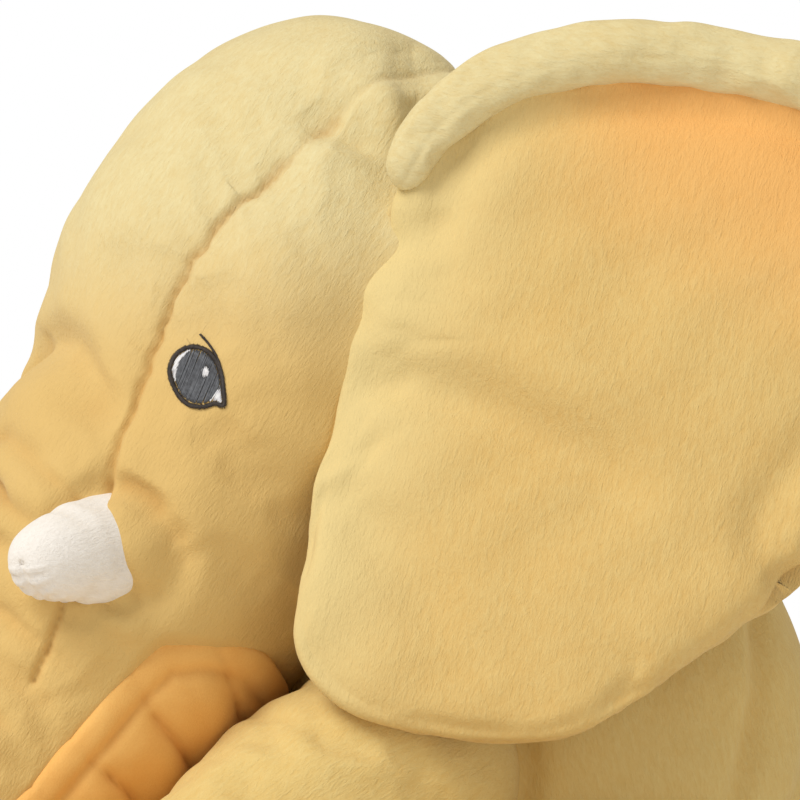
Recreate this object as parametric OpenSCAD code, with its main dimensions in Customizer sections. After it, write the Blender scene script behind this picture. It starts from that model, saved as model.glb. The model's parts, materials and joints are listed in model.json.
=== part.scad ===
// A stuffed elephant in short-pile plush, sitting with its legs forward.
// It faces -Y, its left side is +X, and the middle of its footprint is the origin.
// Each soft limb starts in a ball, which sits in a round socket of the piece that carries it.

/* [Fabric] */
// Thickness of the plush with its pile
fabric = 2.5; // [2:0.5:3]

/* [Head] */
// Height of the middle of the head over the floor
head_height = 330; // [328:1:334]
// Radius of the round of the head
head_r = 106; // [104:1:108]
// From the middle of the head to the end of the muzzle, along the face axis
muzzle_reach = 169; // [167:1:171]
// Radius that the muzzle narrows towards
muzzle_r = 64; // [63:1:66]
// How steeply the face axis points down, in degrees
face_pitch = 56.5; // [55:0.5:58]
// Half of the angle that the forehead gusset takes around the face axis
gusset_half = 40; // [36:1:43]

/* [Trunk] */
// Length of each part of the trunk, root first
trunk_lengths = [72, 68, 85];
// How steeply each part of the trunk points down
trunk_pitches = [48, 42, 18];
// Radius of the ball that each part of the trunk starts in
trunk_balls = [57, 49, 41];
// Radius of each part of the trunk at its far end
trunk_ends = [55, 47, 37];
// Half of the angle that the orange panel takes around the trunk
underside_half = 96; // [90:1:98]
// Most that each part of the trunk bends at its root
trunk_bend = 15; // [12:1:16]

/* [Tusks] */
// Length of the tusk that stands out of the face
tusk_length = 66; // [55:1:70]
// Radius of the tusk at its base
tusk_r = 22; // [20:0.5:23]

/* [Ears] */
// Thickness of the padded ear
ear_thickness = 20; // [18:1:21]

/* [Body] */
// Radius of the body at its widest
body_r = 116; // [114:1:117]
// How far the body leans towards the head, in degrees
body_lean = 5; // [4:0.5:6]

/* [Legs] */
// Radius of the front leg at the shoulder
front_leg_r = 48; // [46:1:48]
// Radius of the hind leg at the hip
hind_leg_r = 55; // [52:1:55]

/* [Hidden] */
NODES = [
    "head_gusset", "head_side_left", "head_side_right", "chin_panel", "head_filling",
    "eye_left_outline", "eye_left_iris", "eye_left_white",
    "eye_right_outline", "eye_right_iris", "eye_right_white",
    "tusk_left_skin", "tusk_left_filling", "tusk_right_skin", "tusk_right_filling",
    "ear_left_front", "ear_left_back", "ear_left_padding",
    "ear_right_front", "ear_right_back", "ear_right_padding",
    "trunk_upper_skin", "trunk_upper_underside", "trunk_upper_filling",
    "trunk_middle_skin", "trunk_middle_underside", "trunk_middle_filling",
    "trunk_tip_skin", "trunk_tip_underside", "trunk_tip_filling", "trunk_end_disc",
    "belly_panel", "back_panel_left", "back_panel_right", "base_panel", "body_filling",
    "front_leg_left_skin", "front_leg_left_sole", "front_leg_left_filling",
    "front_leg_right_skin", "front_leg_right_sole", "front_leg_right_filling",
    "hind_leg_left_skin", "hind_leg_left_sole", "hind_leg_left_filling",
    "hind_leg_right_skin", "hind_leg_right_sole", "hind_leg_right_filling",
    "tail_skin", "tail_tuft"
];
node = "all";

$fn = 96;
plush = [0.93, 0.84, 0.53];
orange = [0.87, 0.62, 0.32];
tusk_white = [0.94, 0.93, 0.92];
stuffing = [0.97, 0.96, 0.93];

gap = 0.3;                 // between a skin and its filling
play = 1.5;                // between a ball and its socket
leg_play = 2;              // between a leg and the hollow in the body that it swings in
big = 1000;                // larger than the elephant, for cutting with a plane
footprint_middle = [0, 0.85, 0];  // middle of the footprint, counted from under the head
head_middle = [0, 0, head_height];

// ---------------------------------------------------------------- outlines

function reversed(list) = [for (i = [len(list) - 1:-1:0]) list[i]];

// Points on an arc, as [distance from the axis, place along the axis]
function arc_points(middle, r, from, to, steps = 12) =
    [for (i = [0:steps]) let (a = from + (to - from) * i / steps) middle + r * [cos(a), sin(a)]];

// An outline moved in towards its axis
function inset(points, distance) = [
    for (i = [0:len(points) - 1])
        let (
            before = points[max(i - 1, 0)],
            after = points[min(i + 1, len(points) - 1)],
            along = (after - before) / norm(after - before),
            moved = points[i] + distance * [-along.y, along.x]
        )
        [max(0, moved.x), moved.y]
];

// How far behind a ball's middle its socket ends, so that the ball bends without touching the rim
function rim_setback(ball) = ball * sin(trunk_bend);

// The hollow that a ball of the next piece sits in, from its rim to the axis
function socket_points(ball, at) =
    let (r = ball + play) arc_points([0, at], r, -asin(rim_setback(ball) / r), -90);

// A smooth closed curve through the points
function smooth_loop(points, steps) = [
    for (i = [0:len(points) - 1], k = [0:steps - 1])
        let (
            n = len(points), t = k / steps,
            a = points[(i + n - 1) % n], b = points[i], c = points[(i + 1) % n], d = points[(i + 2) % n]
        )
        0.5 * (2 * b + t * (c - a) + t * t * (2 * a - 5 * b + 4 * c - d)
            + t * t * t * (3 * b - a - 3 * c + d))
];

// ---------------------------------------------------------------- building blocks

// A length of fabric around the local Z axis, over part of the way round
module skin(outline, from = 0, turn = 360)
    rotate([0, 0, from]) rotate_extrude(angle = turn)
        polygon(concat(outline, reversed(inset(outline, fabric))));

// The stuffing inside an outline, closed by the points given
module filling(outline, end_points, turn = 360)
    rotate_extrude(angle = turn) polygon(concat(inset(outline, fabric + gap), end_points));

// Turns the local Z axis forward and down, and the local Y axis to the top side
module aim(pitch) rotate([90 + pitch, 0, 0]) children();

// Turns the local Z axis along a direction
module along(direction)
    rotate([0, acos(direction.z / norm(direction)), atan2(direction.y, direction.x)]) children();

module on_side(side) mirror([side == "left" ? 0 : 1, 0, 0]) children();

module placed() translate(-footprint_middle) children();

// ---------------------------------------------------------------- head

head_steps = 15;           // along the muzzle
chin_step = 12;            // the orange panel starts here
function muzzle_radius(s) = muzzle_r + (head_r - muzzle_r) * (1 + cos(180 * s / 190)) / 2;
function head_outline(first = 0, last = head_steps) = concat(
    first > 0 ? [] : arc_points([0, 0], head_r, -90, 0),
    [for (i = [max(first, 1):last]) let (s = muzzle_reach * i / head_steps) [muzzle_radius(s), s]]
);
trunk_root = muzzle_reach + rim_setback(trunk_balls[0]);

module in_head() placed() translate(head_middle) aim(face_pitch) children();

// Space that the ears, the tusks and their roots take out of the head
module head_rooms() for (side = ["left", "right"]) {
    in_ear(side) {
        rotate([90, 0, 0]) cylinder(r = ear_bead_r + play, h = 2 * ear_room[1], center = true);
        translate([ear_room_start, ear_room[0], -ear_thickness / 2 - 2])
            cube([ear_room_w, ear_room[1] - ear_room[0], ear_room_depth]);
    }
    at_tusk(side) translate([0, 0, -tusk_root - gap]) cylinder(r = tusk_r + gap, h = tusk_length);
}

module head_gusset() color(plush) difference() {
    in_head() skin(head_outline(), 90 - gusset_half, 2 * gusset_half);
    head_rooms();
}

module head_side(side) color(plush) difference() {
    in_head() on_side(side) union() {
        skin(head_outline(0, chin_step), -90, 180 - gusset_half);
        skin(head_outline(chin_step), underside_half - 90, 180 - underside_half - gusset_half);
    }
    head_rooms();
}

module chin_panel() color(orange) difference() {
    in_head() skin(head_outline(chin_step), -90 - underside_half, 2 * underside_half);
    head_rooms();
}

module head_filling() color(stuffing) difference() {
    in_head() filling(head_outline(), socket_points(trunk_balls[0], trunk_root));
    head_rooms();
}

// ---------------------------------------------------------------- eyes

eye_along = 70;            // along the face axis
eye_turn = 32;             // around the face axis, from the side towards the top
eye_tilt = 24;             // turns the eye upright on the head
eye_w = 20;
eye_h = 26;
thread = 0.8;              // how far the stitching stands out

function eye_shape(scale_by) = [
    for (a = [0:15:345])
        let (point = a > 280 && a < 350 ? 1.18 : 1)
        scale_by * point * [eye_w / 2 * cos(a), eye_h / 2 * sin(a)]
];

module stitched(side) in_head() on_side(side) intersection() {
    rotate_extrude() polygon(concat(
        inset(head_outline(2, 11), -thread - gap), reversed(inset(head_outline(2, 11), -gap))
    ));
    translate([0, 0, eye_along]) rotate([0, 0, eye_turn]) rotate([0, 90, 0]) rotate([0, 0, eye_tilt])
        linear_extrude(2 * head_r) children();
}

module iris_shape() translate([0.5, 0.8]) polygon(eye_shape(0.66));
module glint_shape() translate([2.5, 3.5]) circle(r = 1.8);

module eye_outline(side) color([0.13, 0.11, 0.1]) stitched(side) difference() {
    polygon(eye_shape(1));
    polygon(eye_shape(0.82));
}

module eye_iris(side) color([0.3, 0.31, 0.34]) stitched(side) difference() {
    iris_shape();
    glint_shape();
}

module eye_white(side) color("white") stitched(side) union() {
    difference() {
        polygon(eye_shape(0.8));
        iris_shape();
    }
    glint_shape();
}

// ---------------------------------------------------------------- tusks

tusk_root = 12;            // the length sewn into the face
tusk_base = [60, -99, -97];
tusk_direction = [0.35, -0.9, -0.15];
tusk_tip_r = 12;
tusk_outline = concat(
    [[tusk_r, -tusk_root], [tusk_r, 0], [tusk_r - 0.6, tusk_length * 0.25],
     [tusk_r - 2.4, tusk_length * 0.5]],
    arc_points([0, tusk_length - tusk_tip_r - 4], tusk_tip_r + 4, 0, 90, 10)
);

module at_tusk(side) placed() translate(head_middle) on_side(side)
    translate(tusk_base) along(tusk_direction) children();

module tusk_skin(side) color(tusk_white) at_tusk(side) skin(tusk_outline);

module tusk_filling(side) color(stuffing) at_tusk(side) filling(tusk_outline, [[0, -tusk_root]]);

// ---------------------------------------------------------------- ears

// The ear's own frame: X leads away from the head, Y up the seam, Z outward
ear_seam_middle = [94.5, -12.5, 2];
ear_up = [-0.064, 0.319, 0.945];
ear_back = [0.45, 0.89, 0];
ear_bead_r = 11;           // the gathered root of the ear
ear_bead = [-45, 58];      // where the gathered root starts and ends
ear_room = [-100, 72];     // the ear's root takes this much room from the head, along its seam
ear_room_start = -6;
ear_room_w = 51;
ear_room_depth = 37;
ear_points = [
    [-1, 60], [26, 99], [90, 131], [150, 137], [198, 100], [217, 40], [205, -15],
    [172, -88], [116, -147], [56, -161], [14, -148], [0, -100], [-4, -60]
];

function unit(v) = v / norm(v);

module in_ear(side) {
    up = unit(ear_up);
    away = unit(ear_back - (ear_back * up) * up);
    out = cross(away, up);
    at = ear_seam_middle;
    placed() translate(head_middle) on_side(side) multmatrix([
        [away.x, up.x, out.x, at.x], [away.y, up.y, out.y, at.y], [away.z, up.z, out.z, at.z], [0, 0, 0, 1]
    ]) children();
}

module ear_layer(bottom, top) translate([0, 0, bottom]) linear_extrude(top - bottom) difference() {
    polygon(smooth_loop(ear_points, 5));
    translate([-20, ear_bead[0] - 2]) square([20 + ear_bead_r, ear_bead[1] - ear_bead[0] + 4]);
}

module ear_front(side) color(plush) in_ear(side)
    ear_layer(ear_thickness / 2 - fabric, ear_thickness / 2);

module ear_back(side) color(plush) in_ear(side)
    ear_layer(-ear_thickness / 2, fabric - ear_thickness / 2);

module ear_padding(side) color(stuffing) in_ear(side) union() {
    half = ear_thickness / 2 - fabric - gap;
    ear_layer(-half, half);
    translate([0, ear_bead[1], 0]) rotate([90, 0, 0])
        cylinder(r = ear_bead_r, h = ear_bead[1] - ear_bead[0]);
    translate([0, ear_bead[0] - 2.5, -half]) cube([ear_bead_r + 1, ear_bead[1] - ear_bead[0] + 5, 2 * half]);
}

// ---------------------------------------------------------------- trunk

part_tip = 2;
trunk_round = 12;          // rounding at the end of the trunk
function heading(pitch) = [0, -cos(pitch), -sin(pitch)];
function trunk_pivot(part) = part == 0
    ? head_middle + trunk_root * heading(face_pitch)
    : trunk_pivot(part - 1) + trunk_lengths[part - 1] * heading(trunk_pitches[part - 1]);
function trunk_far(part) = trunk_lengths[part] - (part == part_tip ? 0 : rim_setback(trunk_balls[part + 1]));
function trunk_outline(part, from) = concat(
    arc_points([0, 0], trunk_balls[part], from, 0),
    part == part_tip
        ? arc_points([trunk_ends[part] - trunk_round, trunk_far(part) - trunk_round], trunk_round, 0, 90, 6)
        : [[trunk_ends[part], trunk_far(part)]]
);
trunk_disc_r = trunk_ends[part_tip] - trunk_round - gap;

module in_trunk(part) placed() translate(trunk_pivot(part)) aim(trunk_pitches[part]) children();

module trunk_skin(part) color(plush) in_trunk(part)
    skin(trunk_outline(part, -50), underside_half - 90, 360 - 2 * underside_half);

module trunk_underside(part) color(orange) in_trunk(part)
    skin(trunk_outline(part, -50), -90 - underside_half, 2 * underside_half);

module trunk_filling(part) color(stuffing) in_trunk(part) filling(
    trunk_outline(part, -90),
    part == part_tip
        ? [[0, trunk_far(part) - fabric - gap]]
        : socket_points(trunk_balls[part + 1], trunk_lengths[part])
);

module trunk_end_disc() color(orange) in_trunk(part_tip)
    translate([0, 0, trunk_far(part_tip) - fabric]) cylinder(r = trunk_disc_r, h = fabric);

// ---------------------------------------------------------------- body

body_base = [0, 105, 0];
body_widest = 100;         // height of the widest place
body_below = 130;          // the curve's reach below the widest place
body_above = 190;          // the curve's reach above the widest place
function body_radius(h) = h < body_widest
    ? body_r * pow(1 - pow((body_widest - h) / body_below, 2.6), 1 / 2.6)
    : body_r * sqrt(1 - pow((h - body_widest) / body_above, 2));
body_low = -16;            // the outline starts below the floor, and the base cuts it off flat
body_top = 270;            // inside the head's socket
body_outline = [for (h = [body_low:13:body_top]) [body_radius(h), h]];
belly_half = 27;           // half of the angle that the belly panel takes
head_socket_r = 116;
chin_room = [[50, 108], [185, 80]];   // along the face axis, and the radius that a nod needs there

module in_body() placed() translate(body_base) rotate([body_lean, 0, 0]) children();

module head_swing() in_head() {
    sphere(r = head_socket_r);
    translate([0, 0, chin_room[0][0]])
        cylinder(r1 = chin_room[0][1], r2 = chin_room[1][1], h = chin_room[1][0] - chin_room[0][0]);
}

// The room that a leg takes from the body, for all of its swing
module leg_room(leg) placed() intersection() {
    translate(leg_root(leg)) union() {
        rotate([0, 90, 0]) cylinder(r = leg_r(leg) + leg_play, h = big / 2, center = true);
        for (turn = leg_swing(leg)) rotate([-turn, 0, 0]) along(leg_direction(leg))
            cylinder(r = leg_r(leg) + leg_play, h = leg_length(leg));
    }
    translate([leg_flat(leg) - play / 2, -big / 2, -big / 2]) cube(big);
}

module body_rooms() {
    head_swing();
    for (side = ["left", "right"], leg = [front, hind]) on_side(side) leg_room(leg);
    in_tail() cylinder(r = tail_ball + tail_play, h = 4 * tail_ball, center = true);
}

module slab(from, high) placed() translate([-big / 2, -big / 2, from]) cube([big, big, high]);

module body_panel(from, turn) color(plush) difference() {
    intersection() {
        in_body() skin(body_outline, from, turn);
        slab(fabric + gap, big);
    }
    body_rooms();
}

module belly_panel() body_panel(-90 - belly_half, 2 * belly_half);

module back_panel(side) on_side(side) body_panel(belly_half - 90, 180 - belly_half);

module base_panel() color(plush) intersection() {
    in_body() rotate_extrude() polygon(concat([[0, body_low]], body_outline, [[0, body_top]]));
    slab(0, fabric);
}

module half_body_filling() difference() {
    intersection() {
        in_body() rotate([0, 0, -90]) filling(concat([[0, body_low]], body_outline), [[0, body_top]], 180);
        slab(fabric + gap, big);
    }
    body_rooms();
}

module body_filling() color(stuffing) for (side = ["left", "right"]) on_side(side) half_body_filling();

// ---------------------------------------------------------------- legs

front = 0;
hind = 1;
foot_round = 14;           // rounding at the end of a foot
sole_inset = 12;           // the sole is smaller than the foot by this much
function leg_root(leg) = leg == front ? [78, 5, 148] : [105, 105, 74];
function leg_direction(leg) = (leg == front ? [108, -165, 46] : [188, -25, 53]) - leg_root(leg);
function leg_length(leg) = norm(leg_direction(leg));
function leg_r(leg) = leg == front ? front_leg_r : hind_leg_r;
function ankle_r(leg) = leg == front ? 43 : 48;
function foot_r(leg) = leg == front ? 50 : 52;
// Plane in which the leg's inner side is sewn to the body
function leg_flat(leg) = leg == front ? 40 : 62;
function leg_swing(leg) = leg == front ? [-8, 10] : [-5, 12];

function leg_outline(leg, from) = let (long = leg_length(leg)) concat(
    arc_points([0, 0], leg_r(leg), from, 0),
    [for (t = [0.15:0.1:0.85]) [
        t < 0.6
            ? leg_r(leg) + (ankle_r(leg) - leg_r(leg)) * (1 - cos(180 * t / 0.6)) / 2
            : ankle_r(leg) + (foot_r(leg) - ankle_r(leg)) * (1 - cos(180 * (t - 0.6) / 0.3)) / 2,
        t * long
    ]],
    arc_points([foot_r(leg) - foot_round, long - foot_round], foot_round, 0, 75, 6)
);
function sole_r(leg) = foot_r(leg) - sole_inset - gap;

module in_leg(leg, side) on_side(side) difference() {
    placed() translate(leg_root(leg)) along(leg_direction(leg)) children();
    placed() translate([leg_flat(leg) + play / 2 - big, -big / 2, -big / 2]) cube(big);
}

module leg_skin(leg, side) color(plush) in_leg(leg, side) skin(leg_outline(leg, -90));

module leg_filling(leg, side) color(stuffing) in_leg(leg, side)
    filling(leg_outline(leg, -90), [[0, leg_length(leg) - fabric - 2 * gap]]);

module leg_sole(leg, side) color(orange) in_leg(leg, side)
    translate([0, 0, leg_length(leg) - fabric]) cylinder(r = sole_r(leg), h = fabric);

// ---------------------------------------------------------------- tail

tail_root = [0, 214, 92];
tail_direction = [0, 0.8, -0.6];
tail_ball = 12;
tail_play = 3.5;           // the tail swings freely in its hole
tail_length = 62;
tuft_length = 34;

module in_tail() placed() translate(tail_root) along(tail_direction) children();

module tail_skin() color(plush) in_tail() rotate_extrude()
    polygon(concat(arc_points([0, 0], tail_ball, -90, 40, 14), [[7, tail_length], [0, tail_length]]));

module tail_tuft() color(orange) in_tail() translate([0, 0, tail_length + gap]) rotate_extrude()
    polygon(concat([[0, 0], [8, 0]], arc_points([0, tuft_length * 0.45], 13, -20, 55, 8), [[0, tuft_length]]));

// ---------------------------------------------------------------- the whole elephant

function shown(name) = node == "all" || node == name;

if (shown("head_gusset")) head_gusset();
if (shown("chin_panel")) chin_panel();
if (shown("head_filling")) head_filling();
for (side = ["left", "right"]) {
    if (shown(str("head_side_", side))) head_side(side);
    if (shown(str("eye_", side, "_outline"))) eye_outline(side);
    if (shown(str("eye_", side, "_iris"))) eye_iris(side);
    if (shown(str("eye_", side, "_white"))) eye_white(side);
    if (shown(str("tusk_", side, "_skin"))) tusk_skin(side);
    if (shown(str("tusk_", side, "_filling"))) tusk_filling(side);
    if (shown(str("ear_", side, "_front"))) ear_front(side);
    if (shown(str("ear_", side, "_back"))) ear_back(side);
    if (shown(str("ear_", side, "_padding"))) ear_padding(side);
    if (shown(str("back_panel_", side))) back_panel(side);
    if (shown(str("front_leg_", side, "_skin"))) leg_skin(front, side);
    if (shown(str("front_leg_", side, "_sole"))) leg_sole(front, side);
    if (shown(str("front_leg_", side, "_filling"))) leg_filling(front, side);
    if (shown(str("hind_leg_", side, "_skin"))) leg_skin(hind, side);
    if (shown(str("hind_leg_", side, "_sole"))) leg_sole(hind, side);
    if (shown(str("hind_leg_", side, "_filling"))) leg_filling(hind, side);
}
if (shown("trunk_upper_skin")) trunk_skin(0);
if (shown("trunk_upper_underside")) trunk_underside(0);
if (shown("trunk_upper_filling")) trunk_filling(0);
if (shown("trunk_middle_skin")) trunk_skin(1);
if (shown("trunk_middle_underside")) trunk_underside(1);
if (shown("trunk_middle_filling")) trunk_filling(1);
if (shown("trunk_tip_skin")) trunk_skin(part_tip);
if (shown("trunk_tip_underside")) trunk_underside(part_tip);
if (shown("trunk_tip_filling")) trunk_filling(part_tip);
if (shown("trunk_end_disc")) trunk_end_disc();
if (shown("belly_panel")) belly_panel();
if (shown("base_panel")) base_panel();
if (shown("body_filling")) body_filling();
if (shown("tail_skin")) tail_skin();
if (shown("tail_tuft")) tail_tuft();
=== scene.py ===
"""A stuffed elephant in short-pile plush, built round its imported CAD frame. Sizes are in millimetres until a mesh is made."""

import json
import math

import bpy
import numpy as np
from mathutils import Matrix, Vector
from mathutils.bvhtree import BVHTree
from mathutils.kdtree import KDTree


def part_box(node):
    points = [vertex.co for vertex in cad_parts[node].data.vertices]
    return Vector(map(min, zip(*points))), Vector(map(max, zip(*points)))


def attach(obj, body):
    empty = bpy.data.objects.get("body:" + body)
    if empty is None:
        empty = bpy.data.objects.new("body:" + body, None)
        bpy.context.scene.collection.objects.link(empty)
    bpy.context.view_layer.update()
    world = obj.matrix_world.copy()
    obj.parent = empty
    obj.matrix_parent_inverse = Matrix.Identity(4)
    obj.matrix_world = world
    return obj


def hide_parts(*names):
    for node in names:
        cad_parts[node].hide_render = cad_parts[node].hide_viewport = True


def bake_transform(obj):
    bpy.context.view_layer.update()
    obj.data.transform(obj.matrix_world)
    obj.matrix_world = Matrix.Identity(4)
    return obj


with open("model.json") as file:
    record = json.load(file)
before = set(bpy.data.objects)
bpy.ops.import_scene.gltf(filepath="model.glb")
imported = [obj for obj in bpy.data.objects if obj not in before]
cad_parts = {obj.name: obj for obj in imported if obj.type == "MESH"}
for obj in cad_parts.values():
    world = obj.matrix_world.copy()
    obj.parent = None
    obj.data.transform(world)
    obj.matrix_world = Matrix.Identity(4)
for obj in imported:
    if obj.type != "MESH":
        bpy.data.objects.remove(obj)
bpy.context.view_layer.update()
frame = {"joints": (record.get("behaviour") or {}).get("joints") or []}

scene = bpy.context.scene
MM = 0.001
SIDES = {"left": 1.0, "right": -1.0}


# ------------------------------------------------------------------ places from the frame


def mm(v):
    return np.array(v, float) / MM


def node_box(node):
    low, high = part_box(node)
    return mm(low), mm(high)


def node_middle(node):
    low, high = node_box(node)
    return (low + high) / 2


def unit(v):
    v = np.array(v, float)
    return v / np.linalg.norm(v)


joint_at = {j["name"]: mm(j["pos_m"]) for j in frame["joints"]}
joint_axis = {j["name"]: unit(j["axis"]) for j in frame["joints"]}
SIDEWAYS = np.array([1.0, 0.0, 0.0])
head_middle = joint_at["head_nod"]
trunk_pivots = [joint_at[f"trunk_{part}_bend"] for part in ("root", "middle", "tip")]
trunk_end = node_middle("trunk_end_disc")

# ------------------------------------------------------------------ small mathematics


def smooth(low, high, x):
    """0 below low, 1 above high, and a soft step in between."""
    t = np.clip((x - low) / (high - low), 0, 1)
    return t * t * (3 - 2 * t)


def hill(x, width):
    """1 at 0, falling softly to nothing over the width."""
    return np.exp(-((x / width) ** 2))


def wobble(points, size, seed):
    """Soft unevenness of about that size, from -1 to 1, the same for the same place every time."""
    random = np.random.default_rng(seed)
    total = np.zeros(len(points))
    waves = 9
    for _ in range(waves):
        direction = unit(random.normal(size=3))
        length = size * random.uniform(0.75, 1.5)
        total += np.sin(2 * np.pi * (points @ direction) / length + random.uniform(0, 2 * np.pi))
    return total / math.sqrt(waves * 1.6)


def spline(points, steps, closed=False):
    """A smooth line through the points."""
    p = np.array(points, float)
    n = len(p)
    found = []
    for i in range(n if closed else n - 1):
        if closed:
            a, b, c, d = p[i - 1], p[i], p[(i + 1) % n], p[(i + 2) % n]
        else:
            a, b, c, d = p[max(i - 1, 0)], p[i], p[i + 1], p[min(i + 2, n - 1)]
        for t in np.arange(steps) / steps:
            found.append(
                0.5 * (2 * b + t * (c - a) + t * t * (2 * a - 5 * b + 4 * c - d) + t**3 * (3 * b - a - 3 * c + d))
            )
    if not closed:
        found.append(p[-1])
    return np.array(found)


def evenly(line, step, closed=False):
    """The same line with its points a step apart."""
    p = np.vstack([line, line[:1]]) if closed else np.array(line)
    along = np.concatenate([[0], np.cumsum(np.linalg.norm(np.diff(p, axis=0), axis=1))])
    count = max(3, int(round(along[-1] / step)))
    at = np.linspace(0, along[-1], count + 1)
    if closed:
        at = at[:-1]
    return np.stack([np.interp(at, along, p[:, k]) for k in range(p.shape[1])], 1)


def near_line(points, line):
    """How far each point is from a line of close samples, and how far along the line its nearest sample is."""
    along = np.concatenate([[0], np.cumsum(np.linalg.norm(np.diff(line, axis=0), axis=1))])
    tree = KDTree(len(line))
    for i, p in enumerate(line):
        tree.insert(p, i)
    tree.balance()
    found = [tree.find(p)[1:] for p in points]
    nearest = np.array([f[0] for f in found])
    return np.array([f[1] for f in found]), along[nearest]


def seam_relief(points, line, depth=2.2, valley=1.6, pucker=0.4, pitch=14.0, seed=1):
    """The groove that a sewn seam pulls into the pile, and the soft puckers beside it."""
    d, along = near_line(points, line)
    wave = np.sin(2 * np.pi * along / pitch + 2.6 * np.sin(along / (2.3 * pitch) + seed))
    wave *= 0.6 + 0.4 * np.sin(along / (1.7 * pitch) + 2 * seed)
    groove = -depth * hill(d, 1.9) - valley * hill(d, 7)
    return groove + pucker * wave * hill(d - 5, 5.0)


# ------------------------------------------------------------------ meshes


def make_object(name, points, faces, values=None):
    mesh = bpy.data.meshes.new(name)
    mesh.from_pydata((np.asarray(points) * MM).tolist(), [], [list(map(int, f)) for f in faces])
    for key, v in (values or {}).items():
        attribute = mesh.attributes.new(key, "FLOAT", "POINT")
        attribute.data.foreach_set("value", np.asarray(v, np.float32))
    mesh.update()
    obj = bpy.data.objects.new(name, mesh)
    scene.collection.objects.link(obj)
    return obj


def points_of(obj):
    co = np.empty(len(obj.data.vertices) * 3)
    obj.data.vertices.foreach_get("co", co)
    return co.reshape(-1, 3) / MM


def put_points(obj, points):
    obj.data.vertices.foreach_set("co", (points * MM).astype(np.float32).ravel())
    obj.data.update()


def normals_of(obj):
    n = np.empty(len(obj.data.vertices) * 3)
    obj.data.vertex_normals.foreach_get("vector", n)
    return n.reshape(-1, 3)


def values_of(obj, key):
    v = np.empty(len(obj.data.vertices), np.float32)
    obj.data.attributes[key].data.foreach_get("value", v)
    return v.astype(float)


def apply_modifiers(obj):
    graph = bpy.context.evaluated_depsgraph_get()
    mesh = bpy.data.meshes.new_from_object(obj.evaluated_get(graph), preserve_all_data_layers=True, depsgraph=graph)
    old = obj.data
    obj.modifiers.clear()
    obj.data = mesh
    bpy.data.meshes.remove(old)


def subdivide(obj, levels):
    if levels:
        m = obj.modifiers.new("finer", "SUBSURF")
        m.levels = m.render_levels = levels
        m.use_limit_surface = False
        apply_modifiers(obj)


def loft_mesh(rings, start=True, end=True):
    """Points and faces of a tube through rings, with each end closed to its middle if asked."""
    rows, cols = rings.shape[:2]
    points = rings.reshape(-1, 3)
    r, c = np.arange(rows - 1)[:, None], np.arange(cols)[None]
    d = (c + 1) % cols
    faces = np.stack([r * cols + c, r * cols + d, (r + 1) * cols + d, (r + 1) * cols + c], -1).reshape(-1, 4).tolist()
    ends = []
    if start:
        ends.append(rings[0].mean(0))
        faces += [[len(points), (i + 1) % cols, i] for i in range(cols)]
    if end:
        last = (rows - 1) * cols
        faces += [[len(points) + len(ends), last + i, last + (i + 1) % cols] for i in range(cols)]
        ends.append(rings[-1].mean(0))
    return np.vstack([points] + [e[None] for e in ends]), faces


def outward(obj):
    """Turns a closed piece's faces outward."""
    v = points_of(obj)
    mesh = obj.data
    mesh.calc_loop_triangles()
    tri = np.empty(len(mesh.loop_triangles) * 3, np.int32)
    mesh.loop_triangles.foreach_get("vertices", tri)
    t = v[tri.reshape(-1, 3)] - v.mean(0)
    if np.einsum("ij,ij->i", t[:, 0], np.cross(t[:, 1], t[:, 2])).sum() < 0:
        mesh.flip_normals()


def stuff(obj, held, swell, loose=0.03, pressure=4.0):
    """Fills a closed piece as stuffing does: cloth under pressure, held along its seams, moving at most swell mm."""
    rest = points_of(obj)
    group = obj.vertex_groups.new(name="held")
    level = np.round(np.clip(held, 0, 1) * 8).astype(int)
    for k in range(1, 9):
        group.add(np.flatnonzero(level == k).tolist(), k / 8, "REPLACE")
    m = obj.modifiers.new("cloth", "CLOTH")
    s = m.settings
    s.quality = 5
    s.mass = 0.2
    s.tension_stiffness = s.compression_stiffness = 12
    s.shear_stiffness = 4
    s.bending_stiffness = 0.4
    s.tension_damping = s.compression_damping = 8
    s.shrink_min = -loose
    s.use_pressure = True
    s.uniform_pressure_force = pressure
    s.vertex_group_mass = "held"
    s.pin_stiffness = 4
    s.effector_weights.gravity = 0
    m.collision_settings.use_collision = False
    m.point_cache.frame_start, m.point_cache.frame_end = 1, 20
    for f in range(1, 21):
        scene.frame_set(f)
    graph = bpy.context.evaluated_depsgraph_get()
    e = obj.evaluated_get(graph)
    co = np.empty(len(rest) * 3)
    e.data.vertices.foreach_get("co", co)
    moved = co.reshape(-1, 3) / MM - rest
    length = np.linalg.norm(moved, axis=1)
    if not np.isfinite(length).all():
        moved[:] = 0
    limit = swell * np.tanh(length / swell) / np.maximum(length, 1e-6)
    obj.modifiers.clear()
    obj.vertex_groups.clear()
    scene.frame_set(1)
    put_points(obj, rest + moved * limit[:, None])


def push(obj, relief):
    """Moves each point along its normal by the relief, in mm."""
    put_points(obj, points_of(obj) + normals_of(obj) * relief[:, None])


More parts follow.
